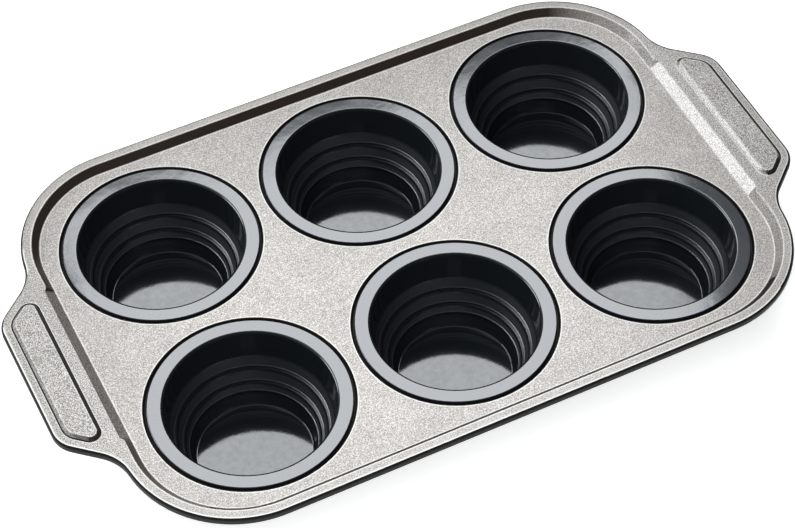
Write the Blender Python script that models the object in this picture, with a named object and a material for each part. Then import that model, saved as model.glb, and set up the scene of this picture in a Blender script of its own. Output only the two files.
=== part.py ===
"""Muffin pan: a pressed, non-stick coated steel tray that carries six removable silicone cups.

Each cup is one silicone moulding. It is modelled as three pieces that part at its two flex lines, so that
the base can be pushed up from below while the stepped wall folds and the rim stays in the tray.

The origin is on the standing surface under the middle of the pan, +X runs along its length and +Z is up.
"""

import math

import bmesh
import bpy

MM = 0.001

# Cup layout
CUP_COLUMNS = 3
CUP_ROWS = 2
WEB_BETWEEN_COLUMNS = 5.8 * MM
WEB_BETWEEN_ROWS = 6.4 * MM

# Silicone cup, from the top down
MOUTH_RADIUS = 35.0 * MM
MOUTH_CHAMFER = 0.6 * MM
FLANGE_WIDTH = 6.6 * MM
FLANGE_THICKNESS = 1.5 * MM
CUP_WALL = 1.5 * MM
UPPER_WALL_DEPTH = 13.0 * MM
UPPER_WALL_TAPER = 1.4 * MM
STEP_WALL = 1.2 * MM
STEP_HEIGHTS = (4.7 * MM, 4.8 * MM, 3.2 * MM)
STEP_LEAN = math.radians(22.0)
LEDGE_WIDTH = 1.0 * MM
LEDGE_DROP = 1.0 * MM
LOWER_WALL_DEPTH = 6.7 * MM
LOWER_WALL_TAPER = 2.0 * MM
FLOOR_THICKNESS = 1.5 * MM
FLOOR_CORNER = 1.4 * MM

# Clearances between pieces that meet
FLEX_LINE_GAP = 0.3 * MM
SEAT_GAP = 0.3 * MM
GRIP_GAP = 0.3 * MM
FLANGE_GAP = 0.7 * MM

# Pressed tray
SHEET = 0.8 * MM
RECESS_DEPTH = 1.5 * MM
RECESS_SLOPE = 0.8 * MM
COLLAR_DEPTH = 2.5 * MM
END_MARGIN = 5.3 * MM
SIDE_MARGIN = 3.7 * MM
PANEL_CORNER_RADIUS = 40.7 * MM
WALL_RISE = 3.3 * MM
WALL_ANGLE = math.radians(70.0)
WALL_BEND_RADIUS = 2.2 * MM
RIM_WIDTH = 4.4 * MM
CURL_RADIUS = 1.7 * MM

# Handles at the two short ends
HANDLE_REACH = 20.1 * MM
HANDLE_END_LENGTH = 66.8 * MM
HANDLE_SIDE_ANGLE = math.radians(48.8)
HANDLE_CORNER_RADIUS = 13.0 * MM
HANDLE_NECK_RADIUS = 20.0 * MM
HANDLE_SLOPE_LENGTH = 82.0 * MM
HANDLE_SLOPE_SETBACK = 0.8 * MM
HANDLE_SLOPE_ANGLE = math.radians(38.0)
HANDLE_SLOPE_BEND_RADIUS = 1.5 * MM
NOTCH_LENGTH = 2.5 * MM
PAD_OUTER_MARGIN = 3.9 * MM
PAD_INNER_MARGIN = 4.8 * MM
PAD_CORNER_RADIUS = 4.2 * MM
PAD_HEIGHT = 1.3 * MM
PAD_WALL_ANGLE = math.radians(60.0)
PAD_BEND_RADIUS = 0.9 * MM

# Facets
ROUND_STEPS = 28
CORNER_STEPS = 7
SMALL_ARC_STEPS = 4
CURL_STEPS = 4
BEND_STEPS = 1
SMOOTH_ANGLE = math.radians(35.0)

# Sizes that follow from the ones above
FLANGE_RADIUS = MOUTH_RADIUS + FLANGE_WIDTH
UPPER_WALL_FOOT = MOUTH_RADIUS - UPPER_WALL_TAPER
STEPS_HEIGHT = sum(STEP_HEIGHTS) + LEDGE_DROP * (len(STEP_HEIGHTS) - 1)
STEPS_RUN = sum(STEP_HEIGHTS) * math.tan(STEP_LEAN) + LEDGE_WIDTH * (len(STEP_HEIGHTS) - 1)
BASE_MOUTH = UPPER_WALL_FOOT - STEPS_RUN
BASE_FOOT = BASE_MOUTH - LOWER_WALL_TAPER
BASE_TOP = FLOOR_THICKNESS + LOWER_WALL_DEPTH
STEPS_BOTTOM = BASE_TOP + FLEX_LINE_GAP
STEPS_TOP = STEPS_BOTTOM + STEPS_HEIGHT
UPPER_WALL_BOTTOM = STEPS_TOP + FLEX_LINE_GAP
FLANGE_TOP = UPPER_WALL_BOTTOM + UPPER_WALL_DEPTH
FLANGE_UNDERSIDE = FLANGE_TOP - FLANGE_THICKNESS

HOLE_RADIUS = MOUTH_RADIUS + CUP_WALL + GRIP_GAP
RECESS_RADIUS = FLANGE_RADIUS + FLANGE_GAP
RECESS_EDGE_RADIUS = RECESS_RADIUS + RECESS_SLOPE
SEAT_TOP = FLANGE_UNDERSIDE - SEAT_GAP
PANEL_TOP = SEAT_TOP + RECESS_DEPTH
RIM_TOP = PANEL_TOP + WALL_RISE
PITCH_X = 2.0 * RECESS_EDGE_RADIUS + WEB_BETWEEN_COLUMNS
PITCH_Y = 2.0 * RECESS_EDGE_RADIUS + WEB_BETWEEN_ROWS
PANEL_HALF_LENGTH = PITCH_X * (CUP_COLUMNS - 1) / 2.0 + RECESS_EDGE_RADIUS + END_MARGIN
PANEL_HALF_WIDTH = PITCH_Y * (CUP_ROWS - 1) / 2.0 + RECESS_EDGE_RADIUS + SIDE_MARGIN


def remove_all_objects():
    for obj in list(bpy.data.objects):
        bpy.data.objects.remove(obj, do_unlink=True)


def coated_steel():
    """Granular champagne-grey non-stick coating on steel."""
    return principled("sand_coated_steel", (0.56, 0.52, 0.48, 1.0), 0.42, 0.55)


def silicone():
    """Dark grey moulded silicone with a soft gloss."""
    return principled("moulded_silicone", (0.045, 0.05, 0.06, 1.0), 0.3, 0.0)


def principled(name, colour, roughness, metallic):
    material = bpy.data.materials.new(name)
    material.use_nodes = True
    shader = material.node_tree.nodes["Principled BSDF"]
    shader.inputs["Base Color"].default_value = colour
    shader.inputs["Roughness"].default_value = roughness
    shader.inputs["Metallic"].default_value = metallic
    material.diffuse_color = colour
    return material


def arc(centre, radius, start, end, steps):
    """Points on an arc, each as x, y and the outward normal. A negative radius makes a hollow arc."""
    points = []
    for i in range(steps + 1):
        angle = start + (end - start) * i / steps
        nx = math.cos(angle)
        ny = math.sin(angle)
        points.append((centre[0] + radius * nx, centre[1] + radius * ny, nx, ny))
    return points


def fillet_centre(corner, start, end, radius):
    """Centre of the fillet at a corner whose two sides face the start and end angles."""
    reach = radius / math.cos((end - start) / 2.0)
    middle = (start + end) / 2.0
    return (corner[0] - reach * math.cos(middle), corner[1] - reach * math.sin(middle))


def pressed_bend(rise, angle, radius, steps):
    """A wall pressed up between two flats, as (run, rise) points: a hollow bend, a straight, a round bend."""
    arc_rise = min(radius * (1.0 - math.cos(angle)), 0.45 * rise)
    radius = arc_rise / (1.0 - math.cos(angle))
    half_run = radius * math.sin(angle) + (rise / 2.0 - arc_rise) / math.tan(angle)
    lower = []
    for i in range(steps + 1):
        turn = angle * i / steps
        lower.append((radius * math.sin(turn), radius * (1.0 - math.cos(turn))))
    upper = [(2.0 * half_run - run, rise - height) for run, height in reversed(lower)]
    return lower + upper


def wall_bend():
    return pressed_bend(WALL_RISE, WALL_ANGLE, WALL_BEND_RADIUS, BEND_STEPS)


def handle_slope_bend():
    bend = pressed_bend(WALL_RISE, HANDLE_SLOPE_ANGLE, HANDLE_SLOPE_BEND_RADIUS, BEND_STEPS)
    return [(HANDLE_SLOPE_SETBACK + run, height) for run, height in bend]


def rim_to_panel():
    """How far the tray's outer edge lies outside the foot of the wall."""
    return wall_bend()[-1][0] + RIM_WIDTH


def handle_end():
    return PANEL_HALF_LENGTH + rim_to_panel() + HANDLE_REACH


def mirrored_quadrants(quadrant):
    """Completes an outline from its first quadrant, which runs anticlockwise from +X to +Y."""
    right = list(quadrant)
    left = [(-x, y, -nx, ny) for x, y, nx, ny in reversed(right)]
    upper = right + left
    return upper + [(-x, -y, -nx, -ny) for x, y, nx, ny in upper]


def pan_outline():
    """The outer edge of the tray with its handles."""
    body_radius = PANEL_CORNER_RADIUS + rim_to_panel()
    body_centre = (PANEL_HALF_LENGTH - PANEL_CORNER_RADIUS, PANEL_HALF_WIDTH - PANEL_CORNER_RADIUS)
    side = HANDLE_SIDE_ANGLE
    handle_corner = (handle_end(), HANDLE_END_LENGTH / 2.0)
    handle_centre = fillet_centre(handle_corner, 0.0, side, HANDLE_CORNER_RADIUS)
    side_distance = handle_corner[0] * math.cos(side) + handle_corner[1] * math.sin(side)
    centre_distance = body_centre[0] * math.cos(side) + body_centre[1] * math.sin(side)
    neck_to_body = body_radius + HANDLE_NECK_RADIUS
    neck_angle = side - math.acos((side_distance + HANDLE_NECK_RADIUS - centre_distance) / neck_to_body)
    neck_centre = (
        body_centre[0] + neck_to_body * math.cos(neck_angle),
        body_centre[1] + neck_to_body * math.sin(neck_angle),
    )
    handle = arc(handle_centre, HANDLE_CORNER_RADIUS, 0.0, side, SMALL_ARC_STEPS)
    neck = arc(neck_centre, -HANDLE_NECK_RADIUS, side, neck_angle, SMALL_ARC_STEPS)
    body = arc(body_centre, body_radius, neck_angle, math.pi / 2.0, CORNER_STEPS)
    return mirrored_quadrants(handle + neck + body[1:])


def wall_ring(bm, at_wall, at_handle):
    """A loop along the wall around the panel, given as (run, rise) on the wall and on the handles' slope."""
    run, rise = at_wall
    slope_run, slope_rise = at_handle
    centre = (PANEL_HALF_LENGTH - PANEL_CORNER_RADIUS, PANEL_HALF_WIDTH - PANEL_CORNER_RADIUS)
    slope_end = HANDLE_SLOPE_LENGTH / 2.0
    slope = (PANEL_HALF_LENGTH + slope_run, slope_end, 1.0, 0.0)
    past_notch = (PANEL_HALF_LENGTH + run, slope_end + NOTCH_LENGTH, 1.0, 0.0)
    corner = arc(centre, PANEL_CORNER_RADIUS + run, 0.0, math.pi / 2.0, CORNER_STEPS)
    loop = []
    for x, y, nx, ny in mirrored_quadrants([slope, past_notch] + corner):
        height = slope_rise if abs(y) <= slope_end else rise
        loop.append(bm.verts.new((x, y, PANEL_TOP + height)))
    return loop


def pad_outline():
    """The foot of the raised pad on the right handle, which follows the handle's edge."""
    side = HANDLE_SIDE_ANGLE
    end = handle_end()
    outer_x = end - PAD_OUTER_MARGIN
    inner_x = PANEL_HALF_LENGTH + handle_slope_bend()[-1][0] + PAD_INNER_MARGIN
    side_distance = end * math.cos(side) + HANDLE_END_LENGTH / 2.0 * math.sin(side) - PAD_OUTER_MARGIN
    outer_y = (side_distance - outer_x * math.cos(side)) / math.sin(side)
    inner_y = (side_distance - inner_x * math.cos(side)) / math.sin(side)
    outer_radius = HANDLE_CORNER_RADIUS - PAD_OUTER_MARGIN
    outer_centre = fillet_centre((outer_x, outer_y), 0.0, side, outer_radius)
    inner_centre = fillet_centre((inner_x, inner_y), side, math.pi, PAD_CORNER_RADIUS)
    upper = arc(outer_centre, outer_radius, 0.0, side, SMALL_ARC_STEPS)
    upper += arc(inner_centre, PAD_CORNER_RADIUS, side, math.pi, SMALL_ARC_STEPS)
    return upper + [(x, -y, nx, -ny) for x, y, nx, ny in reversed(upper)]


def circle_outline(centre, radius):
    return arc(centre, radius, 0.0, 2.0 * math.pi, ROUND_STEPS)[:-1]


def ring(bm, outline, inset, height):
    """A loop of vertices along an outline, moved inwards by inset."""
    return [bm.verts.new((x - nx * inset, y - ny * inset, height)) for x, y, nx, ny in outline]


def band(bm, inner, outer):
    """Joins two anticlockwise loops with quads that face the sheet's upper side."""
    for i in range(len(inner)):
        j = (i + 1) % len(inner)
        bm.faces.new((inner[i], outer[i], outer[j], inner[j]))


def fill(bm, loops):
    """Fills the flat area between an outer loop and the loops inside it."""
    edges = []
    for loop in loops:
        for i in range(len(loop)):
            pair = (loop[i], loop[(i + 1) % len(loop)])
            edges.append(bm.edges.get(pair) or bm.edges.new(pair))
    bmesh.ops.triangle_fill(bm, use_beauty=True, edges=edges, normal=(0.0, 0.0, 1.0))


def add_rolled_edge(bm):
    """The rim's outer edge rolls over and under. Returns the loop where the rim turns flat."""
    outline = pan_outline()
    flat_edge = ring(bm, outline, CURL_RADIUS, RIM_TOP)
    inner = flat_edge
    for i in range(1, CURL_STEPS + 1):
        angle = math.pi * i / CURL_STEPS
        inset = CURL_RADIUS * (1.0 - math.sin(angle))
        outer = ring(bm, outline, inset, RIM_TOP - CURL_RADIUS * (1.0 - math.cos(angle)))
        band(bm, inner, outer)
        inner = outer
    return flat_edge


def add_pad(bm, turned):
    """A raised grip pad on one handle. Returns the loop at its foot."""
    sign = -1.0 if turned else 1.0
    outline = [(sign * x, sign * y, sign * nx, sign * ny) for x, y, nx, ny in pad_outline()]
    foot = ring(bm, outline, 0.0, RIM_TOP)
    outer = foot
    for run, rise in pressed_bend(PAD_HEIGHT, PAD_WALL_ANGLE, PAD_BEND_RADIUS, BEND_STEPS)[1:]:
        inner = ring(bm, outline, run, RIM_TOP + rise)
        band(bm, inner, outer)
        outer = inner
    fill(bm, [outer])
    return foot


def add_cup_hole(bm, centre):
    """A round recess for the cup's flange, with a collar turned down around the hole. Returns its edge."""
    edge = ring(bm, circle_outline(centre, RECESS_EDGE_RADIUS), 0.0, PANEL_TOP)
    corner = ring(bm, circle_outline(centre, RECESS_RADIUS), 0.0, SEAT_TOP)
    collar_top = ring(bm, circle_outline(centre, HOLE_RADIUS), 0.0, SEAT_TOP)
    collar_bottom = ring(bm, circle_outline(centre, HOLE_RADIUS), 0.0, SEAT_TOP - COLLAR_DEPTH)
    band(bm, corner, edge)
    band(bm, collar_top, corner)
    band(bm, collar_bottom, collar_top)
    return edge


def cup_centres():
    """Cup axes, row by row from the far side, each row from left to right."""
    centres = []
    for row in range(CUP_ROWS):
        for column in range(CUP_COLUMNS):
            x = (column - (CUP_COLUMNS - 1) / 2.0) * PITCH_X
            y = ((CUP_ROWS - 1) / 2.0 - row) * PITCH_Y
            centres.append((x, y))
    return centres


def build_tray(material):
    """The sheet's upper face is drawn, and Solidify gives it its thickness downwards."""
    bm = bmesh.new()
    wall = [wall_ring(bm, *pair) for pair in zip(wall_bend(), handle_slope_bend())]
    for inner, outer in zip(wall, wall[1:]):
        band(bm, inner, outer)
    fill(bm, [add_rolled_edge(bm), wall[-1], add_pad(bm, turned=False), add_pad(bm, turned=True)])
    fill(bm, [wall[0]] + [add_cup_hole(bm, centre) for centre in cup_centres()])
    tray = linked_object("tray", finished_mesh(bm, "tray", material))
    solidify = tray.modifiers.new("sheet_thickness", "SOLIDIFY")
    solidify.thickness = SHEET
    solidify.offset = -1.0
    solidify.use_even_offset = True
    solidify.use_quality_normals = True
    return tray


def finished_mesh(bm, name, material):
    mesh = bpy.data.meshes.new(name)
    bm.to_mesh(mesh)
    bm.free()
    mesh.shade_smooth()
    mesh.set_sharp_from_angle(angle=SMOOTH_ANGLE)
    mesh.materials.append(material)
    return mesh


def linked_object(name, mesh):
    obj = bpy.data.objects.new(name, mesh)
    bpy.context.scene.collection.objects.link(obj)
    return obj


def turned_mesh(name, profile, closed, material):
    """Turns a profile of (radius, height) points about Z. A closed profile gives a ring."""
    bm = bmesh.new()
    verts = [bm.verts.new((radius, 0.0, height)) for radius, height in profile]
    edges = [bm.edges.new(pair) for pair in zip(verts, verts[1:])]
    if closed:
        edges.append(bm.edges.new((verts[-1], verts[0])))
    bmesh.ops.spin(
        bm,
        geom=verts + edges,
        cent=(0.0, 0.0, 0.0),
        axis=(0.0, 0.0, 1.0),
        angle=2.0 * math.pi,
        steps=ROUND_STEPS,
        use_merge=True,
    )
    bmesh.ops.remove_doubles(bm, verts=bm.verts, dist=0.001 * MM)
    bmesh.ops.recalc_face_normals(bm, faces=bm.faces)
    return finished_mesh(bm, name, material)


def rim_profile():
    """Flange and upper wall, from the flange's top outwards, down the outside and up the inside."""
    return [
        (MOUTH_RADIUS + MOUTH_CHAMFER, FLANGE_TOP),
        (FLANGE_RADIUS, FLANGE_TOP),
        (FLANGE_RADIUS, FLANGE_UNDERSIDE),
        (MOUTH_RADIUS + CUP_WALL, FLANGE_UNDERSIDE),
        (UPPER_WALL_FOOT + CUP_WALL, UPPER_WALL_BOTTOM),
        (UPPER_WALL_FOOT, UPPER_WALL_BOTTOM),
        (MOUTH_RADIUS, FLANGE_TOP - MOUTH_CHAMFER),
    ]


def steps_profile():
    """The folding wall: leaning steps with a short ledge between each and the next."""
    inside = [(UPPER_WALL_FOOT, STEPS_TOP)]
    for height in STEP_HEIGHTS:
        if len(inside) > 1:
            radius, level = inside[-1]
            inside.append((radius - LEDGE_WIDTH, level - LEDGE_DROP))
        radius, level = inside[-1]
        inside.append((radius - height * math.tan(STEP_LEAN), level - height))
    outside = [(radius + STEP_WALL, level) for radius, level in inside]
    return outside + inside[::-1]


def base_profile():
    """Floor and lower wall, from the middle of the underside round to the middle of the floor."""
    outer_foot = BASE_FOOT + CUP_WALL
    return [
        (0.0, 0.0),
        (outer_foot - FLOOR_CORNER, 0.0),
        (outer_foot, FLOOR_CORNER),
        (BASE_MOUTH + CUP_WALL, BASE_TOP),
        (BASE_MOUTH, BASE_TOP),
        (BASE_FOOT, FLOOR_THICKNESS + FLOOR_CORNER),
        (BASE_FOOT - FLOOR_CORNER, FLOOR_THICKNESS),
        (0.0, FLOOR_THICKNESS),
    ]


def build_cups(material):
    """Each cup hangs on an empty on its axis, which is the line that it lifts along and folds along."""
    rim = turned_mesh("cup_rim", rim_profile(), True, material)
    steps = turned_mesh("cup_steps", steps_profile(), True, material)
    base = turned_mesh("cup_base", base_profile(), False, material)
    for number, (x, y) in enumerate(cup_centres(), start=1):
        axis = linked_object(f"cup_{number}_axis", None)
        axis.location = (x, y, 0.0)
        for piece, mesh in (("rim", rim), ("steps", steps), ("base", base)):
            linked_object(f"cup_{number}_{piece}", mesh).parent = axis


def main():
    remove_all_objects()
    build_tray(coated_steel())
    build_cups(silicone())


main()
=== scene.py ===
"""Muffin pan: a sand-textured steel tray with six stepped silicone cups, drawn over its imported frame."""

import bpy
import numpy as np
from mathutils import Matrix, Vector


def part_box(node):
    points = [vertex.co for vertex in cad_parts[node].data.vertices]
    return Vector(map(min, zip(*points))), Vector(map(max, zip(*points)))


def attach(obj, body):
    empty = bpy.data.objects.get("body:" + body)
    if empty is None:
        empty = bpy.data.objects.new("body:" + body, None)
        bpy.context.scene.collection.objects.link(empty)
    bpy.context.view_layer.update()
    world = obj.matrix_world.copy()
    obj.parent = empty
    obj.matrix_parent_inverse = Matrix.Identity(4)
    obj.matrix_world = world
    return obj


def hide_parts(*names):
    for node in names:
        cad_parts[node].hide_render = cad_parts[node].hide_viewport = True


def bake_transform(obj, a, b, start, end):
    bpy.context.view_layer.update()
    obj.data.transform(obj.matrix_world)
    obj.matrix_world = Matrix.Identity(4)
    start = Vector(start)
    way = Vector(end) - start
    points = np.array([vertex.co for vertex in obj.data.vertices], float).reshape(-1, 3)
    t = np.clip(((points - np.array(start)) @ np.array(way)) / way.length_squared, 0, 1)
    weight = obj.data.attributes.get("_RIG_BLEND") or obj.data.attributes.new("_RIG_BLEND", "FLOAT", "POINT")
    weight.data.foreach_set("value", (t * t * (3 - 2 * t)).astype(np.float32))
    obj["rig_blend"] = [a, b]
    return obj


bl_info = {
    "name": "Muffin Pan with Silicone Cups",
    "version": (1, 0, 0),
    "blender": (4, 5, 0),
    "location": "View3D > Sidebar > Muffin Pan",
    "description": "Builds a coated steel muffin tray, its six push-up silicone cups and a plain studio",
    "category": "Add Mesh",
}

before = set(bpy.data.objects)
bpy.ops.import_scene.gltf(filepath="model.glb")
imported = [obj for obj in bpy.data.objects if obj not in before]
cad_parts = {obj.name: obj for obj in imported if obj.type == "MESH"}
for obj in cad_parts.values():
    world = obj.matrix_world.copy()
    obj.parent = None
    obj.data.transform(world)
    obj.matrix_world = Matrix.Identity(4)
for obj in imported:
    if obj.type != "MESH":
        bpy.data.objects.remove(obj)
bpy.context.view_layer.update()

import math

import bmesh
import bpy
from mathutils import Matrix, Vector

MM = 0.001

# Sizes shared with the frame, from the tray's outside inwards
SHEET = 0.8 * MM
HANDLE_REACH = 20.1 * MM
HANDLE_END_LENGTH = 66.8 * MM
HANDLE_SIDE_ANGLE = math.radians(48.8)
HANDLE_CORNER_RADIUS = 13.0 * MM
HANDLE_NECK_RADIUS = 20.0 * MM
HANDLE_SLOPE_LENGTH = 82.0 * MM
HANDLE_SLOPE_ANGLE = math.radians(38.0)
HANDLE_SLOPE_BEND_RADIUS = 0.7 * MM
NOTCH_LENGTH = 2.5 * MM
PAD_OUTER_MARGIN = 4.4 * MM
PAD_INNER_MARGIN = 5.0 * MM
PAD_CORNER_RADIUS = 4.2 * MM
PAD_HEIGHT = 1.3 * MM
PAD_WALL_ANGLE = math.radians(45.0)
PAD_BEND_RADIUS = 0.5 * MM
PANEL_CORNER_RADIUS = 41.6 * MM
WALL_RISE = 3.3 * MM
WALL_ANGLE = math.radians(50.0)
WALL_BEND_RADIUS = 0.6 * MM
RIM_WIDTH = 4.4 * MM
EDGE_HEIGHT = 3.9 * MM
EDGE_BEND_RADIUS = 1.1 * MM
RECESS_DEPTH = 1.5 * MM
RECESS_SLOPE = 0.8 * MM
FLANGE_GAP = 0.7 * MM
FLANGE_WIDTH = 6.6 * MM
FLANGE_THICKNESS = 1.5 * MM
CUP_WALL = 1.5 * MM
STEP_WALL = 1.2 * MM
GRIP_GAP = 0.3 * MM
COLLAR_DEPTH = 2.5 * MM
UPPER_WALL_TAPER = 1.4 * MM
STEP_HEIGHTS = (4.7 * MM, 4.8 * MM, 3.2 * MM)
STEP_LEAN = math.radians(22.0)
LEDGE_WIDTH = 1.0 * MM
LEDGE_DROP = 1.0 * MM
LOWER_WALL_TAPER = 2.0 * MM
FLOOR_THICKNESS = 1.5 * MM
FLOOR_CORNER = 1.4 * MM

# Corners inside the foot of a step, as (outwards, upwards, fillet)
LIP_TOP = (0.14 * MM, 0.5 * MM, 0.3 * MM)
LIP_EDGE = (-0.4 * MM, 0.25 * MM, 0.3 * MM)
GROOVE = (-0.5 * MM, -0.6 * MM, 0.2 * MM)
NEXT_STEP = (-0.85 * MM, -1.0 * MM, 0.6 * MM)
LAST_GROOVE = (0.1 * MM, -0.6 * MM, 0.25 * MM)

# Fillets of a cup's outside and of the bend above its steps
STEP_FILLET = 0.5 * MM
LAST_STEP_FILLET = 0.6 * MM
SEAM_FILLET = 0.4 * MM
UNDER_FLANGE_FILLET = 0.3 * MM

# Heights over which a cup's surface changes between polished, blasted and painted fold shade at the foot or
# the top of a step
BLAST_ABOVE = 0.2 * MM
BLAST_BELOW = 1.2 * MM
FOLD_FADE = 0.1 * MM
POLISH_BELOW = 1.0 * MM

# Narrow flats beside a bend, which keep the shading of the wide flats even
WALL_FLAT = 0.5 * MM
PAD_FLATS = (0.3 * MM, 0.5 * MM)
RECESS_FLAT = 0.22 * MM
RECESS_BORDER = 0.7 * MM
EDGE_FLAT = 0.6 * MM
# The fillet at a recess's foot as a share of the one at its edge
RECESS_FOOT_SHARE = 0.7

CUPS = range(1, 7)
ROUND_STEPS = 96
CUP_ROUND_STEPS = 88
CORNER_STEPS = 28
SMALL_ARC_STEPS = 12
NOTCH_STEPS = 8
BEND_STEPS = 7
EDGE_BEND_STEPS = 6
FILLET_STEPS = 4
PATH_STEP = 2.0 * MM
PATH_MARGIN = 0.1 * MM
WELD_DISTANCE = 0.001 * MM
TRAY_SHARP_ANGLE = math.radians(45.0)
CUP_SHARP_ANGLE = math.radians(75.0)
# The largest share of a wall's rise that one bend takes up, and of a side that one fillet takes up
BEND_SHARE = 0.45
FILLET_SHARE = 0.48

# Material slots of the tray, whose second slot also carries painted shade, the strength of the painted
# highlight on marked edges, and where the coat ends on its rim
COATED = 0
BACK_COAT_AND_SHADE = 1
HIGHLIGHT_ON_BEND = 0.5
HIGHLIGHT_ON_RIM = 0.8
HIGHLIGHT_ON_SLOPE = 0.1
COATED_TURN = math.radians(25.0)
UNMARKED_NOTCH = 0.6 * NOTCH_LENGTH

# These parts of a normal choose the faces that take painted shade, the faces spared from it, and the edges
# that take the painted highlight
SHADED_BEYOND_Y = 0.6
SHADED_BEYOND_X = 0.5
LIT_BELOW_X = -0.5
HIGHLIGHT_BELOW_Y = 0.3

# Pattern scales in cells per metre
SPRAY_CLOUDS = 70.0  # 14 mm
ORANGE_PEEL = 400.0  # 2.5 mm
FLOW_CLOUDS = 80.0  # 12 mm
RIPPLES = 400.0  # 2.5 mm
ROLLER_TEXTURE = 330.0  # 3 mm

# The studio. Azimuths run from +Y towards +X, and all angles are in degrees
FLOOR_HALF_SIZE = 4.0
FLOOR_DROP = 0.5 * MM
LAMP_TARGET = (0.0, 0.0, 0.036)
LAMP_COLOUR = (0.966, 1.0, 1.034)
# Azimuth, elevation, distance, size and roll
LAMPS = {
    "back_lamp": (24.8, 53.4, 2.2, (0.79, 0.545), 16.0),
    "left_lamp": (-47.0, 36.0, 1.33, (0.62, 0.42), 0.0),
    "near_lamp": (205.0, 50.0, 0.6, (0.4, 0.4), 0.0),
}
ROOM_LEVEL = 0.09
ROOM_COLOUR = (0.93, 1.0, 1.07, 1.0)
# Azimuth, elevation, cosine of the half width and brightness
ROOM_GLOWS = ((12.0, 64.0, 0.88, 3.2), (-60.0, 30.0, 0.6, 0.8))
CAMERA_SENSOR = 36.0
CAMERA_LENS = 111.27
CAMERA_CLIP = (0.05, 50.0)
CAMERA_PLACE = (-0.28165, -0.59897, 0.82853)
CAMERA_TURN = (39.381, 0.9332, -26.0)


def linear(code):
    """An sRGB hex colour as linear red, green, blue and alpha."""
    channels = [int(code[i : i + 2], 16) / 255.0 for i in (0, 2, 4)]
    return [c / 12.92 if c <= 0.04045 else ((c + 0.055) / 1.055) ** 2.4 for c in channels] + [1.0]


def length(name, description, millimetres):
    return bpy.props.FloatProperty(
        name=name, description=description, default=millimetres * MM, min=0.0, precision=5, unit="LENGTH"
    )


def colour(name, description, code):
    return bpy.props.FloatVectorProperty(
        name=name, description=description, default=linear(code), size=4, min=0.0, max=1.0, subtype="COLOR"
    )


def amount(name, description, default, high=1.0):
    return bpy.props.FloatProperty(name=name, description=description, default=default, min=0.0, max=high)


def angle(name, description, degrees):
    return bpy.props.FloatProperty(
        name=name, description=description, default=math.radians(degrees), subtype="ANGLE"
    )


class TraySettings(bpy.types.PropertyGroup):
    recess_fillet: length("Recess Edge Fillet", "Radius pressed into the edge of each round recess", 0.25)
    collar_fillet: length("Collar Fillet", "Radius where the sheet turns down into a hole's collar", 0.9)
    edge_turn: angle("Edge Turn", "How far the outer edge is turned down and under", 225.0)
    grain: length("Sand Grain", "Width of a grain of the coating's sand texture", 0.46)
    grain_height: length("Grain Height", "Height of the sand texture", 0.011)
    grain_light: colour("Grain Light", "Colour of the coating's light grains", "D4CFC9")
    grain_middle: colour("Grain Middle", "Colour of the coating between its grains", "A09992")
    grain_dark: colour("Grain Dark", "Colour of the coating's dark grains", "6C6863")
    # Painted highlight: the pale line along pressed edges and on the near rim
    painted_highlight: colour("Gathered Pigment", "Colour of the pigment gathered along pressed edges", "F6F4F0")
    # Painted shade on steep walls turned from the left lamp
    painted_wall_shade: colour("Undercoat", "Colour that shows where the pigment is thin on steep walls", "291E14")
    back_coat: colour("Back Coat", "Colour of the smooth coat on the turned edge and underside", "151311")


class CupSettings(bpy.types.PropertyGroup):
    mouth_fillet: length("Mouth Fillet", "Radius between the flange and the cup's inside", 1.1)
    flange_fillet: length("Flange Fillet", "Radius of the flange's outer edge", 0.4)
    groove_depth: length("Fold Groove Depth", "Depth of the groove moulded between two steps", 0.5)
    floor_fillet: length("Floor Fillet", "Radius between the floor and the wall", 0.9)
    silicone: colour("Silicone", "Colour of the moulded silicone", "181B1E")
    satin: colour("Satin Silicone", "Colour of the steps, moulded in a blasted part of the tool", "212427")
    # Painted shade in the folds between the steps
    fold: colour("Fold", "Colour in the folds between the steps", "0C0D0F")


class StageSettings(bpy.types.PropertyGroup):
    floor: colour("Floor", "Colour of the studio floor", "E9E8E6")
    world: amount("World Fill", "Brightness of the room around the object", 0.5, high=10.0)
    back_lamp: amount("Back Lamp", "Power of the far soft lamp that the silicone mirrors", 10.2, high=1000.0)
    left_lamp: amount("Left Lamp", "Power of the soft lamp on the left", 8.6, high=1000.0)
    near_lamp: amount("Near Lamp", "Power of the broad fill lamp on the near left", 2.3, high=1000.0)


def arc(centre, radius, start, end, steps):
    """Points on an arc, each as x, y and the outward normal. A negative radius makes a hollow arc."""
    points = []
    for i in range(steps + 1):
        turn = start + (end - start) * i / steps
        nx = math.cos(turn)
        ny = math.sin(turn)
        points.append((centre[0] + radius * nx, centre[1] + radius * ny, nx, ny))
    return points


def fillet_centre(corner, start, end, radius):
    """Centre of the fillet at a corner whose two sides face the start and end angles."""
    reach = radius / math.cos((end - start) / 2.0)
    middle = (start + end) / 2.0
    return (corner[0] - reach * math.cos(middle), corner[1] - reach * math.sin(middle))


def pressed_bend(rise, wall_angle, radius, steps):
    """A wall pressed up between two flats, as (run, rise) points: a hollow bend, a straight, a round bend."""
    arc_rise = min(radius * (1.0 - math.cos(wall_angle)), BEND_SHARE * rise)
    radius = arc_rise / (1.0 - math.cos(wall_angle))
    half_run = radius * math.sin(wall_angle) + (rise / 2.0 - arc_rise) / math.tan(wall_angle)
    lower = []
    for i in range(steps + 1):
        turn = wall_angle * i / steps
        lower.append((radius * math.sin(turn), radius * (1.0 - math.cos(turn))))
    upper = [(2.0 * half_run - run, rise - height) for run, height in reversed(lower)]
    return lower + upper


def between_flats(bend, margin):
    """Adds a narrow flat before and after a bend, which keeps the shading of the wide flats even."""
    return [(bend[0][0] - margin, bend[0][1])] + bend + [(bend[-1][0] + margin, bend[-1][1])]


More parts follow.
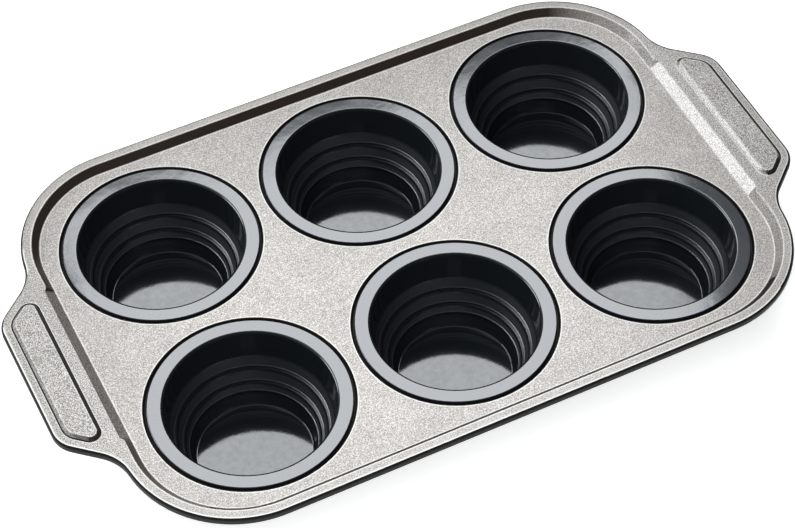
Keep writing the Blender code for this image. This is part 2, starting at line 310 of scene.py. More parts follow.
def mirrored_quadrants(quadrant):
    """Completes an outline from its first quadrant, which runs anticlockwise from +X to +Y."""
    right = list(quadrant)
    left = [(-x, y, -nx, ny) for x, y, nx, ny in reversed(right)]
    upper = right + left
    return upper + [(-x, -y, -nx, -ny) for x, y, nx, ny in upper]


class TrayLayout:
    """Levels and outlines of the tray, worked out from the frame's box."""

    def __init__(self):
        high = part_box("tray")[1]
        rim_low, rim_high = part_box("cup_1_rim")
        self.wall = pressed_bend(WALL_RISE, WALL_ANGLE, WALL_BEND_RADIUS, BEND_STEPS)
        self.slope = pressed_bend(WALL_RISE, HANDLE_SLOPE_ANGLE, HANDLE_SLOPE_BEND_RADIUS, BEND_STEPS)
        self.edge_reach = self.wall[-1][0] + RIM_WIDTH
        self.handle_end = high.x
        self.panel_half_length = high.x - HANDLE_REACH - self.edge_reach
        self.panel_half_width = high.y - self.edge_reach
        self.rim_top = high.z - PAD_HEIGHT
        self.panel_top = self.rim_top - WALL_RISE
        self.seat_top = self.panel_top - RECESS_DEPTH
        self.recess_radius = (rim_high.x - rim_low.x) / 2.0 + FLANGE_GAP
        self.hole_radius = (rim_high.x - rim_low.x) / 2.0 - FLANGE_WIDTH + CUP_WALL + GRIP_GAP
        self.corner_centre = (
            self.panel_half_length - PANEL_CORNER_RADIUS,
            self.panel_half_width - PANEL_CORNER_RADIUS,
        )

    def pan_outline(self):
        """The outer edge of the tray with its handles."""
        side = HANDLE_SIDE_ANGLE
        body_radius = PANEL_CORNER_RADIUS + self.edge_reach
        corner_x, corner_y = self.corner_centre
        handle_corner = (self.handle_end, HANDLE_END_LENGTH / 2.0)
        handle_centre = fillet_centre(handle_corner, 0.0, side, HANDLE_CORNER_RADIUS)
        side_distance = handle_corner[0] * math.cos(side) + handle_corner[1] * math.sin(side)
        centre_distance = corner_x * math.cos(side) + corner_y * math.sin(side)
        neck_to_body = body_radius + HANDLE_NECK_RADIUS
        neck_angle = side - math.acos((side_distance + HANDLE_NECK_RADIUS - centre_distance) / neck_to_body)
        neck_centre = (
            corner_x + neck_to_body * math.cos(neck_angle),
            corner_y + neck_to_body * math.sin(neck_angle),
        )
        handle = arc(handle_centre, HANDLE_CORNER_RADIUS, 0.0, side, SMALL_ARC_STEPS)
        neck = arc(neck_centre, -HANDLE_NECK_RADIUS, side, neck_angle, SMALL_ARC_STEPS)
        body = arc(self.corner_centre, body_radius, neck_angle, math.pi / 2.0, CORNER_STEPS)
        return mirrored_quadrants(handle + neck + body[1:])

    def wall_loop(self, bm, at_wall, at_slope):
        """A loop around the panel, on the wall along the sides and on the wider slope at the handles."""
        slope_end = HANDLE_SLOPE_LENGTH / 2.0
        quadrant = []
        for step in range(NOTCH_STEPS + 1):
            share = step / NOTCH_STEPS
            blend = share * share * (3.0 - 2.0 * share)
            run = at_slope[0] + (at_wall[0] - at_slope[0]) * blend
            rise = at_slope[1] + (at_wall[1] - at_slope[1]) * blend
            y = slope_end + NOTCH_LENGTH * share
            quadrant.append((self.panel_half_length + run, y, rise))
        radius = PANEL_CORNER_RADIUS + at_wall[0]
        for x, y, nx, ny in arc(self.corner_centre, radius, 0.0, math.pi / 2.0, CORNER_STEPS):
            quadrant.append((x, y, at_wall[1]))
        upper = quadrant + [(-x, y, rise) for x, y, rise in reversed(quadrant)]
        whole = upper + [(-x, -y, rise) for x, y, rise in upper]
        return [bm.verts.new((x, y, self.panel_top + rise)) for x, y, rise in whole]

    def pad_outline(self, turned):
        """The foot of the raised pad on a handle, which follows the handle's edge."""
        side = HANDLE_SIDE_ANGLE
        end = self.handle_end
        outer_x = end - PAD_OUTER_MARGIN
        inner_x = self.panel_half_length + self.slope[-1][0] + PAD_INNER_MARGIN
        side_distance = end * math.cos(side) + HANDLE_END_LENGTH / 2.0 * math.sin(side) - PAD_OUTER_MARGIN
        outer_y = (side_distance - outer_x * math.cos(side)) / math.sin(side)
        inner_y = (side_distance - inner_x * math.cos(side)) / math.sin(side)
        outer_radius = HANDLE_CORNER_RADIUS - PAD_OUTER_MARGIN
        outer_centre = fillet_centre((outer_x, outer_y), 0.0, side, outer_radius)
        inner_centre = fillet_centre((inner_x, inner_y), side, math.pi, PAD_CORNER_RADIUS)
        upper = arc(outer_centre, outer_radius, 0.0, side, SMALL_ARC_STEPS)
        upper += arc(inner_centre, PAD_CORNER_RADIUS, side, math.pi, SMALL_ARC_STEPS)
        sign = -1.0 if turned else 1.0
        whole = upper + [(x, -y, nx, -ny) for x, y, nx, ny in reversed(upper)]
        return [(sign * x, sign * y, sign * nx, sign * ny) for x, y, nx, ny in whole]


def ring(bm, outline, inset, height):
    """A loop of vertices along an outline, moved inwards by inset."""
    return [bm.verts.new((x - nx * inset, y - ny * inset, height)) for x, y, nx, ny in outline]


def mark_highlight(bm, share, *loops):
    """Marks the vertices of loops that run along a pressed edge for a pale painted highlight."""
    layer = bm.verts.layers.float["edge"]
    for loop in loops:
        for vertex in loop:
            vertex[layer] = share


def band(bm, inner, outer, slots=None):
    """Joins two anticlockwise loops with quads that face the sheet's upper side, coated by default."""
    for i in range(len(inner)):
        j = (i + 1) % len(inner)
        face = bm.faces.new((inner[i], outer[i], outer[j], inner[j]))
        face.material_index = slots[i] if slots else COATED


def fill(bm, loops):
    """Fills the flat area between an outer loop and the loops inside it."""
    edges = []
    for loop in loops:
        for i in range(len(loop)):
            pair = (loop[i], loop[(i + 1) % len(loop)])
            edges.append(bm.edges.get(pair) or bm.edges.new(pair))
    bmesh.ops.triangle_fill(bm, use_beauty=True, edges=edges, normal=(0.0, 0.0, 1.0))


def rounded_path(corners, steps):
    """A path through (radius, height, fillet) corners, with an arc of the fillet's radius at each corner."""
    points = []
    for i, (radius, height, fillet) in enumerate(corners):
        corner = Vector((radius, height))
        if fillet <= 0.0:
            points.append(corner)
            continue
        back = Vector(corners[i - 1][:2]) - corner
        ahead = Vector(corners[i + 1][:2]) - corner
        half = back.angle(ahead) / 2.0
        reach = min(fillet / math.tan(half), FILLET_SHARE * back.length, FILLET_SHARE * ahead.length)
        centre = corner + (back.normalized() + ahead.normalized()).normalized() * (reach / math.cos(half))
        start = corner + back.normalized() * reach - centre
        end = corner + ahead.normalized() * reach - centre
        turn = math.atan2(start.x * end.y - start.y * end.x, start.dot(end))
        for k in range(steps + 1):
            points.append(centre + Matrix.Rotation(turn * k / steps, 2) @ start)
    return points


def divided_path(points, longest, margin):
    """Splits long stretches of a path. A narrow first and last part keeps the shading of a flat even."""
    divided = [points[0]]
    for here, there in zip(points, points[1:]):
        span = (there - here).length
        if span > 6.0 * margin:
            parts = math.ceil(span / longest)
            divided.append(here.lerp(there, margin / span))
            divided += [here.lerp(there, k / parts) for k in range(1, parts)]
            divided.append(here.lerp(there, 1.0 - margin / span))
        divided.append(there)
    return divided


def finished_mesh(bm, name, materials, sharp=TRAY_SHARP_ANGLE):
    mesh = bpy.data.meshes.new(name)
    bm.to_mesh(mesh)
    bm.free()
    mesh.shade_smooth()
    mesh.set_sharp_from_angle(angle=sharp)
    for material in materials:
        mesh.materials.append(material)
    return mesh


def linked_object(name, data):
    obj = bpy.data.objects.new(name, data)
    bpy.context.scene.collection.objects.link(obj)
    return obj


def apply_modifiers(obj):
    """Replaces the mesh with its modified form."""
    evaluated = obj.evaluated_get(bpy.context.evaluated_depsgraph_get())
    mesh = bpy.data.meshes.new_from_object(evaluated)
    obj.modifiers.clear()
    obj.data = mesh


def new_material(name):
    material = bpy.data.materials.new(name)
    material.use_nodes = True
    return material, material.node_tree, material.node_tree.nodes["Principled BSDF"]


def add_node(tree, kind, inputs, **settings):
    """Adds a node. An input is set to a value, or linked where it is given another node's output."""
    node = tree.nodes.new(kind)
    for name, value in settings.items():
        setattr(node, name, value)
    for name, value in inputs.items():
        if isinstance(value, bpy.types.NodeSocket):
            tree.links.new(value, node.inputs[name])
        else:
            node.inputs[name].default_value = value
    return node


def scaled(shade, factor):
    """A colour made lighter or darker."""
    return [channel * factor for channel in shade]


def set_stops(node, stops):
    """Sets a colour ramp's stops from (position, colour) pairs."""
    elements = node.color_ramp.elements
    while len(elements) < len(stops):
        elements.new(1.0)
    for element, (position, shade) in zip(elements, stops):
        element.position = position
        element.color = shade


def sand_coating(settings):
    """Sand-textured non-stick coating with metallic pigment, sprayed on steel and baked.

    It gives the eye a champagne-grey field of light and dark grains with a soft gleam, a pale painted
    highlight along pressed edges, and painted shade on steep walls.
    """
    material, tree, shader = new_material("sand_textured_nonstick_on_steel")
    place = add_node(tree, "ShaderNodeTexCoord", {}).outputs["Object"]
    # Grains, one noise cell to a grain's width
    grain = add_node(
        tree,
        "ShaderNodeTexNoise",
        {"Vector": place, "Scale": 1.0 / settings.grain, "Detail": 2.0, "Roughness": 0.7},
    )
    # They stand out more on the handles, where the coat is thinner
    place_x = add_node(tree, "ShaderNodeSeparateXYZ", {"Vector": place}).outputs["X"]
    reach = add_node(tree, "ShaderNodeMath", {0: place_x}, operation="ABSOLUTE")
    contrast = add_node(
        tree,
        "ShaderNodeMapRange",
        {
            "Value": reach.outputs["Value"],
            "From Min": 138.0 * MM,
            "From Max": 150.0 * MM,
            "To Min": 0.78,
            "To Max": 1.5,
        },
    )
    middle = add_node(tree, "ShaderNodeMath", {0: grain.outputs["Fac"], 1: 0.5}, operation="SUBTRACT")
    grains = add_node(
        tree,
        "ShaderNodeMath",
        {0: middle.outputs["Value"], 1: contrast.outputs["Result"], 2: 0.5},
        operation="MULTIPLY_ADD",
    ).outputs["Value"]
    ramp = add_node(tree, "ShaderNodeValToRGB", {"Fac": grains})
    set_stops(ramp, [(0.34, settings.grain_dark), (0.5, settings.grain_middle), (0.66, settings.grain_light)])
    # Clouds where the spray is a little thicker
    cloud = add_node(tree, "ShaderNodeTexNoise", {"Vector": place, "Scale": SPRAY_CLOUDS, "Detail": 2.0})
    tone = add_node(
        tree,
        "ShaderNodeMapRange",
        {"Value": cloud.outputs["Fac"], "From Min": 0.3, "From Max": 0.7, "To Min": 0.94, "To Max": 1.06},
    )
    shade = add_node(
        tree, "ShaderNodeHueSaturation", {"Color": ramp.outputs["Color"], "Value": tone.outputs["Result"]}
    )
    # Painted highlight: a pale line along pressed edges, which the mesh marks
    edge = add_node(tree, "ShaderNodeAttribute", {}, attribute_name="edge").outputs["Fac"]
    highlighted = add_node(
        tree,
        "ShaderNodeMix",
        {"Factor": edge, "A": shade.outputs["Color"], "B": settings.painted_highlight},
        data_type="RGBA",
    )
    # Painted shade: it darkens walls to a dark brown as they steepen from 28 to 44 degrees
    normal = add_node(tree, "ShaderNodeNewGeometry", {}).outputs["Normal"]
    facing = add_node(tree, "ShaderNodeSeparateXYZ", {"Vector": normal})
    shaded = add_node(
        tree,
        "ShaderNodeMapRange",
        {"Value": facing.outputs["Z"], "From Min": 0.88, "From Max": 0.72, "To Max": 0.97},
        interpolation_type="SMOOTHSTEP",
    )
    # Walls that face the left lamp take only a quarter of this painted shade
    shaded_side = add_node(
        tree,
        "ShaderNodeMapRange",
        {"Value": facing.outputs["X"], "From Min": -0.6, "From Max": -0.3, "To Min": 0.25},
    )
    wall_shade_mask = add_node(
        tree, "ShaderNodeMath", {0: shaded.outputs["Result"], 1: shaded_side.outputs["Result"]}, operation="MULTIPLY"
    )
    shaded_colour = add_node(
        tree,
        "ShaderNodeMix",
        {"Factor": wall_shade_mask.outputs["Value"], "A": highlighted.outputs["Result"], "B": settings.painted_wall_shade},
        data_type="RGBA",
    )
    tree.links.new(shaded_colour.outputs["Result"], shader.inputs["Base Color"])
    gloss = add_node(
        tree,
        "ShaderNodeMapRange",
        {"Value": grains, "From Min": 0.3, "From Max": 0.7, "To Min": 0.22, "To Max": 0.16},
    )
    tree.links.new(gloss.outputs["Result"], shader.inputs["Roughness"])
    bump = add_node(
        tree,
        "ShaderNodeBump",
        {"Height": grain.outputs["Fac"], "Distance": settings.grain_height, "Strength": 1.0},
    )
    tree.links.new(bump.outputs["Normal"], shader.inputs["Normal"])
    glint = add_node(
        tree,
        "ShaderNodeMapRange",
        {"Value": grains, "From Min": 0.3, "From Max": 0.7, "To Min": 0.1, "To Max": 0.3},
    )
    # The walls under the painted shade are glossier than the grains
    sheen = add_node(
        tree,
        "ShaderNodeMix",
        {"Factor": wall_shade_mask.outputs["Value"], "A": glint.outputs["Result"], "B": 1.1},
        data_type="FLOAT",
    )
    tree.links.new(sheen.outputs["Result"], shader.inputs["Specular IOR Level"])
    shader.inputs["Metallic"].default_value = 0.07
    return material


def back_coating(settings):
    """Smooth near-black non-stick enamel, sprayed on the back of the sheet before the top is coated.

    It gives the eye a dark line round the pan, and painted shade as a dark line round each hole, at the foot
    of the grip pads, along the near wall and on the right-hand bend of the edge.
    """
    material, tree, shader = new_material("smooth_dark_enamel_on_steel")
    place = add_node(tree, "ShaderNodeTexCoord", {}).outputs["Object"]
    peel = add_node(tree, "ShaderNodeTexNoise", {"Vector": place, "Scale": ORANGE_PEEL, "Detail": 3.0})
    gloss = add_node(
        tree, "ShaderNodeMapRange", {"Value": peel.outputs["Fac"], "To Min": 0.4, "To Max": 0.55}
    )
    tree.links.new(gloss.outputs["Result"], shader.inputs["Roughness"])
    shade = add_node(
        tree,
        "ShaderNodeMix",
        {"Factor": peel.outputs["Fac"], "A": settings.back_coat, "B": scaled(settings.back_coat, 1.5)},
        data_type="RGBA",
    )
    tree.links.new(shade.outputs["Result"], shader.inputs["Base Color"])
    bump = add_node(tree, "ShaderNodeBump", {"Height": peel.outputs["Fac"], "Distance": 0.02 * MM})
    tree.links.new(bump.outputs["Normal"], shader.inputs["Normal"])
    shader.inputs["Specular IOR Level"].default_value = 0.15
    return material


def moulded_silicone(settings):
    """Platinum-cured silicone rubber, moulded in a polished tool that is blasted at the steps.

    It gives the eye a dark blue-grey with a soft mirror of the lamps, duller on the steps, and painted shade
    in the folds between them.
    """
    material, tree, shader = new_material("moulded_silicone_rubber")
    place = add_node(tree, "ShaderNodeTexCoord", {}).outputs["Object"]
    cloud = add_node(tree, "ShaderNodeTexNoise", {"Vector": place, "Scale": FLOW_CLOUDS, "Detail": 3.0})
    pale = scaled(settings.silicone, 1.12)
    deep = scaled(settings.silicone, 0.88)
    shade = add_node(
        tree, "ShaderNodeMix", {"Factor": cloud.outputs["Fac"], "A": deep, "B": pale}, data_type="RGBA"
    )
    # The mesh's attribute runs from -1 in the folds, where it paints shade, past 0 on the polished walls, to
    # 1 on the blasted steps
    finish = add_node(tree, "ShaderNodeAttribute", {}, attribute_name="finish").outputs["Fac"]
    satin = add_node(tree, "ShaderNodeClamp", {"Value": finish})
    # Painted shade: the folds turn near black
    fold = add_node(tree, "ShaderNodeMapRange", {"Value": finish, "From Min": 0.0, "From Max": -1.0})
    step = add_node(
        tree,
        "ShaderNodeMix",
        {"Factor": satin.outputs["Result"], "A": shade.outputs["Result"], "B": settings.satin},
        data_type="RGBA",
    )
    whole = add_node(
        tree,
        "ShaderNodeMix",
        {"Factor": fold.outputs["Result"], "A": step.outputs["Result"], "B": settings.fold},
        data_type="RGBA",
    )
    tree.links.new(whole.outputs["Result"], shader.inputs["Base Color"])
    gloss = add_node(
        tree, "ShaderNodeMapRange", {"Value": cloud.outputs["Fac"], "To Min": 0.05, "To Max": 0.1}
    )
    # Steps and folds alike are dull
    blasted = add_node(tree, "ShaderNodeMath", {0: finish}, operation="ABSOLUTE")
    dull = add_node(
        tree,
        "ShaderNodeMix",
        {"Factor": blasted.outputs["Value"], "A": gloss.outputs["Result"], "B": 0.42},
        data_type="FLOAT",
    )
    tree.links.new(dull.outputs["Result"], shader.inputs["Roughness"])
    ripple = add_node(tree, "ShaderNodeTexNoise", {"Vector": place, "Scale": RIPPLES, "Detail": 2.0})
    relief = add_node(
        tree,
        "ShaderNodeMath",
        {0: ripple.outputs["Fac"], 1: 0.12, 2: cloud.outputs["Fac"]},
        operation="MULTIPLY_ADD",
    )
    bump = add_node(tree, "ShaderNodeBump", {"Height": relief.outputs["Value"], "Distance": 0.03 * MM})
    tree.links.new(bump.outputs["Normal"], shader.inputs["Normal"])
    # The ripples show on the cup's floor as a faint mottling
    height = add_node(tree, "ShaderNodeSeparateXYZ", {"Vector": place}).outputs["Z"]
    wall = add_node(
        tree, "ShaderNodeMapRange", {"Value": height, "From Min": 1.8 * MM, "From Max": 2.4 * MM}
    )
    mottle = add_node(
        tree,
        "ShaderNodeMapRange",
        {"Value": ripple.outputs["Fac"], "From Min": 0.3, "From Max": 0.7, "To Min": 0.34, "To Max": 0.4},
    )
    # The blasted steps carry a film of release agent, which gives their lit side a broad soft gleam
    film = add_node(
        tree, "ShaderNodeMath", {0: satin.outputs["Result"], 1: 0.6, 2: 0.5}, operation="MULTIPLY_ADD"
    )
    sheen = add_node(
        tree,
        "ShaderNodeMix",
        {"Factor": wall.outputs["Result"], "A": mottle.outputs["Result"], "B": film.outputs["Value"]},
        data_type="FLOAT",
    )
    tree.links.new(sheen.outputs["Result"], shader.inputs["Specular IOR Level"])
    shader.inputs["IOR"].default_value = 1.6
    return material


def studio_floor(settings):
    """Matt painted board. The camera and mirror-like surfaces see it lifted to white; its shadow stays."""
    material, tree, shader = new_material("matt_white_painted_board")
    place = add_node(tree, "ShaderNodeTexCoord", {}).outputs["Object"]
    paint = add_node(tree, "ShaderNodeTexNoise", {"Vector": place, "Scale": ROLLER_TEXTURE, "Detail": 2.0})
    bump = add_node(tree, "ShaderNodeBump", {"Height": paint.outputs["Fac"], "Distance": 0.02 * MM})
    tree.links.new(bump.outputs["Normal"], shader.inputs["Normal"])
    shader.inputs["Base Color"].default_value = settings.floor
    shader.inputs["Roughness"].default_value = 0.8
    shader.inputs["Specular IOR Level"].default_value = 0.1
    light_path = add_node(tree, "ShaderNodeLightPath", {})
    seen = add_node(
        tree,
        "ShaderNodeMath",
        {0: light_path.outputs["Is Camera Ray"], 1: light_path.outputs["Is Glossy Ray"]},
        operation="MAXIMUM",
    )
    seen = add_node(
        tree,
        "ShaderNodeMath",
        {0: seen.outputs["Value"], 1: light_path.outputs["Is Transmission Ray"]},
        operation="MAXIMUM",
    )
    lift = add_node(tree, "ShaderNodeMath", {0: seen.outputs["Value"], 1: 0.66}, operation="MULTIPLY")
    shader.inputs["Emission Color"].default_value = (1.0, 1.0, 1.0, 1.0)
    tree.links.new(lift.outputs["Value"], shader.inputs["Emission Strength"])
    return material


def add_hole(bm, layout, settings, centre):
    """A round recess for a cup's flange, with a collar turned down around the hole. Returns its edge."""
    edge_radius = layout.recess_radius + RECESS_SLOPE
    fillet = settings.recess_fillet
    section = rounded_path(
        [
            (edge_radius + RECESS_BORDER, layout.panel_top, 0.0),
            (edge_radius + RECESS_FLAT, layout.panel_top, 0.0),
            (edge_radius, layout.panel_top, fillet),
            (layout.recess_radius, layout.seat_top, fillet * RECESS_FOOT_SHARE),
            (layout.hole_radius, layout.seat_top, settings.collar_fillet),
            (layout.hole_radius, layout.seat_top - COLLAR_DEPTH, 0.0),
        ],
        FILLET_STEPS,
    )
    loops = []
    for radius, height in section:
        outline = arc(centre, radius, 0.0, 2.0 * math.pi, ROUND_STEPS)[:-1]
        loops.append(ring(bm, outline, 0.0, height))
    # The recess wall, its seat and the collar take the dark back coat, as painted shade in the gap round the
    # flange
    for i, (outer, inner) in enumerate(zip(loops, loops[1:])):
        band(bm, inner, outer, [BACK_COAT_AND_SHADE] * ROUND_STEPS if i > FILLET_STEPS + 1 else None)
    # Painted highlight along the recess edge
    mark_highlight(bm, HIGHLIGHT_ON_BEND, loops[1], loops[2])
    return loops[0]


def add_pad(bm, layout, turned):
    """A raised grip pad on one handle. Returns the loop on the flat around its foot."""
    outline = layout.pad_outline(turned)
    bend = pressed_bend(PAD_HEIGHT, PAD_WALL_ANGLE, PAD_BEND_RADIUS, BEND_STEPS)
    for margin in PAD_FLATS:
        bend = between_flats(bend, margin)
    loops = [ring(bm, outline, run, layout.rim_top + rise) for run, rise in bend]
    # Painted shade: the foot of the pad takes the dark back coat, apart from the right-hand pad's left side,
    # which faces the left lamp
    foot = [COATED if x > 0.0 and nx < LIT_BELOW_X else BACK_COAT_AND_SHADE for x, y, nx, ny in outline]
    for i, (outer, inner) in enumerate(zip(loops, loops[1:])):
        band(bm, inner, outer, foot if 1 <= i <= BEND_STEPS + 1 else None)
    # Painted highlight at the foot and the crest of the pad
    mark_highlight(bm, HIGHLIGHT_ON_BEND, loops[1], loops[-3])
    fill(bm, [loops[-1]])
    return loops[0]


def add_turned_edge(bm, layout, settings):
    """The rim's outer edge turns down and under. Returns the loop where the rim is still flat."""
    outline = layout.pan_outline()
    flat = ring(bm, outline, EDGE_BEND_RADIUS + EDGE_FLAT, layout.rim_top)
    quarter = math.pi / 2.0
    turns = [(quarter * i / EDGE_BEND_STEPS, EDGE_BEND_RADIUS) for i in range(EDGE_BEND_STEPS + 1)]
    lower_drop = EDGE_HEIGHT - EDGE_BEND_RADIUS
    for i in range(2 * EDGE_BEND_STEPS + 1):
        turn = quarter + (settings.edge_turn - quarter) * i / (2 * EDGE_BEND_STEPS)
        turns.append((turn, lower_drop))
    inner = flat
    for turn, drop in turns:
        inset = EDGE_BEND_RADIUS * (1.0 - math.sin(turn))
        outer = ring(bm, outline, inset, layout.rim_top - drop + EDGE_BEND_RADIUS * math.cos(turn))
        if turn > COATED_TURN:
            slots = [BACK_COAT_AND_SHADE] * len(outline)
        elif turn > 0.0:
            # Painted shade: the bend on the right takes the dark back coat
            slots = [BACK_COAT_AND_SHADE if nx > SHADED_BEYOND_X else COATED for x, y, nx, ny in outline]
        else:
            slots = None
        band(bm, inner, outer, slots)
        if turn < COATED_TURN:
            # Painted highlight along the bend, except on the far edge
            near = [vertex for vertex, (x, y, nx, ny) in zip(outer, outline) if ny < HIGHLIGHT_BELOW_Y]
            mark_highlight(bm, HIGHLIGHT_ON_RIM, near)
        inner = outer
    return flat


def cup_centre(number):
    low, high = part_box(f"cup_{number}_base")
    return ((low.x + high.x) / 2.0, (low.y + high.y) / 2.0)


def section_corner(radius, level, corner, inset=0.0):
    """A corner of a cup's section, from its place next to the foot of a step."""
    outwards, upwards, fillet = corner
    return (radius + outwards + inset, level + upwards, fillet)


def cup_section(settings):
    """A cup's closed section, from the middle of its floor up the inside and down the outside."""
    base_low, base_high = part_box("cup_1_base")
    rim_low, rim_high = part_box("cup_1_rim")
    steps_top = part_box("cup_1_steps")[1].z
    flange_radius = (rim_high.x - rim_low.x) / 2.0
    mouth = flange_radius - FLANGE_WIDTH
    top = rim_high.z
    foot = mouth - UPPER_WALL_TAPER
    base_mouth = (base_high.x - base_low.x) / 2.0 - CUP_WALL
    base_foot = base_mouth - LOWER_WALL_TAPER

    inside = [(foot, steps_top, STEP_FILLET)]
    outside = [(foot + CUP_WALL, rim_low.z, STEP_FILLET), (foot + STEP_WALL, steps_top, SEAM_FILLET)]
    radius, level = foot, steps_top
    for number, height in enumerate(STEP_HEIGHTS):
        radius -= height * math.tan(STEP_LEAN)
        level -= height
        inside += [section_corner(radius, level, corner) for corner in (LIP_TOP, LIP_EDGE)]
        if number == len(STEP_HEIGHTS) - 1:
            inside.append(section_corner(radius, level, LAST_GROOVE))
            outside.append((radius + STEP_WALL, level, LAST_STEP_FILLET))
            continue
        inside.append(section_corner(radius, level, GROOVE, inset=settings.groove_depth))
        inside.append(section_corner(radius, level, NEXT_STEP))
        outside.append((radius + STEP_WALL, level, STEP_FILLET))
        outside.append((radius + STEP_WALL - LEDGE_WIDTH, level - LEDGE_DROP, STEP_FILLET))
        radius -= LEDGE_WIDTH
        level -= LEDGE_DROP

    corners = [
        (0.0, FLOOR_THICKNESS, 0.0),
        (base_foot, FLOOR_THICKNESS, settings.floor_fillet),
        *reversed(inside),
        (mouth, top, settings.mouth_fillet),
        (flange_radius, top, settings.flange_fillet),
        (flange_radius, top - FLANGE_THICKNESS, UNDER_FLANGE_FILLET),
        (mouth + CUP_WALL, top - FLANGE_THICKNESS, UNDER_FLANGE_FILLET),
        *outside,
        (base_mouth + CUP_WALL, base_high.z, SEAM_FILLET),
        (base_foot + CUP_WALL, 0.0, FLOOR_CORNER),
        (0.0, 0.0, 0.0),
    ]
    return divided_path(rounded_path(corners, FILLET_STEPS), PATH_STEP, PATH_MARGIN)


def surface_stops():
    """Heights and finishes down a cup: 1 on blasted steps, -1 for painted shade in the folds and 0 on
    polished walls.
    """
    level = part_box("cup_1_steps")[1].z
    stops = [(level + BLAST_ABOVE, 0.0)]
    for height in STEP_HEIGHTS:
        foot = level - height
        stops += [(level - BLAST_BELOW, 1.0), (foot + 2.0 * FOLD_FADE, 1.0), (foot + FOLD_FADE, -1.0)]
        stops.append((foot - LEDGE_DROP - FOLD_FADE, -1.0))
        level = foot - LEDGE_DROP
    return stops[:-1] + [(level, -1.0), (level - POLISH_BELOW, 0.0)]


def surface_at(height, stops):
    """The surface value at a height, read between the stops: blasted, polished or painted fold shade."""
    if height >= stops[0][0]:
        return stops[0][1]
    for (upper, above), (lower, below) in zip(stops, stops[1:]):
        if height > lower:
            return below + (above - below) * (height - lower) / (upper - lower)
    return stops[-1][1]


def cup_mesh(settings, material):
    """One silicone cup as a single moulding, turned about its own axis."""
    bm = bmesh.new()
    verts = [bm.verts.new((radius, 0.0, height)) for radius, height in cup_section(settings)]
    edges = [bm.edges.new(pair) for pair in zip(verts, verts[1:])]
    bmesh.ops.spin(
        bm,
        geom=verts + edges,
        cent=(0.0, 0.0, 0.0),
        axis=(0.0, 0.0, 1.0),
        angle=2.0 * math.pi,
        steps=CUP_ROUND_STEPS,
        use_merge=True,
    )
    bmesh.ops.remove_doubles(bm, verts=bm.verts, dist=WELD_DISTANCE)
    bmesh.ops.recalc_face_normals(bm, faces=bm.faces)
    mesh = finished_mesh(bm, "silicone_cup", [material], sharp=CUP_SHARP_ANGLE)
    # Each vertex takes its surface value by height, painted fold shade included
    finish = mesh.attributes.new("finish", "FLOAT", "POINT")
    stops = surface_stops()
    for vertex, value in zip(mesh.vertices, finish.data):
        value.value = surface_at(vertex.co.z, stops)
    return mesh


def direction(azimuth, elevation):
    """Unit vector at an azimuth from +Y towards +X and an elevation, both in degrees."""
    a = math.radians(azimuth)
    e = math.radians(elevation)
    return Vector((math.sin(a) * math.cos(e), math.cos(a) * math.cos(e), math.sin(e)))


def add_area_lamp(name, power):
    """A soft rectangular lamp that faces the pan."""
    azimuth, elevation, distance, size, roll = LAMPS[name]
    data = bpy.data.lights.new(name, "AREA")
    data.shape = "RECTANGLE"
    data.size, data.size_y = size
    data.energy = power
    data.color = LAMP_COLOUR
    lamp = linked_object(name, data)
    lamp.location = direction(azimuth, elevation) * distance
    aim = (Vector(LAMP_TARGET) - lamp.location).to_track_quat("-Z", "Y").to_matrix()
    lamp.rotation_euler = (aim @ Matrix.Rotation(math.radians(roll), 3, "Z")).to_euler()
    return lamp


def add_room(brightness):
    """The room's light: an even level with two broad glows."""
    world = bpy.data.worlds.new("studio_room")
    world.use_nodes = True
    tree = world.node_tree
    background = tree.nodes["Background"]
    place = add_node(tree, "ShaderNodeTexCoord", {}).outputs["Generated"]
    level = ROOM_LEVEL
    for azimuth, elevation, edge, glow in ROOM_GLOWS:
        towards = add_node(
            tree,
            "ShaderNodeVectorMath",
            {0: place, 1: direction(azimuth, elevation)},
            operation="DOT_PRODUCT",
        )
        light = add_node(
            tree,
            "ShaderNodeMapRange",
            {"Value": towards.outputs["Value"], "From Min": edge, "From Max": 1.0, "To Max": glow},
            interpolation_type="SMOOTHSTEP",
        )
        level = add_node(
            tree, "ShaderNodeMath", {0: light.outputs["Result"], 1: level}, operation="ADD"
        ).outputs["Value"]
    level = add_node(tree, "ShaderNodeMath", {0: level, 1: brightness}, operation="MULTIPLY")
    tree.links.new(level.outputs["Value"], background.inputs["Strength"])
    background.inputs["Color"].default_value = ROOM_COLOUR
    return world


def add_camera():
    """The photograph's camera."""
    data = bpy.data.cameras.new("photo_view")
    data.sensor_width = CAMERA_SENSOR
    data.sensor_fit = "HORIZONTAL"
    data.lens = CAMERA_LENS
    data.clip_start, data.clip_end = CAMERA_CLIP
    camera = linked_object("photo_view", data)
    camera.location = CAMERA_PLACE
    camera.rotation_euler = [math.radians(turn) for turn in CAMERA_TURN]
    return camera


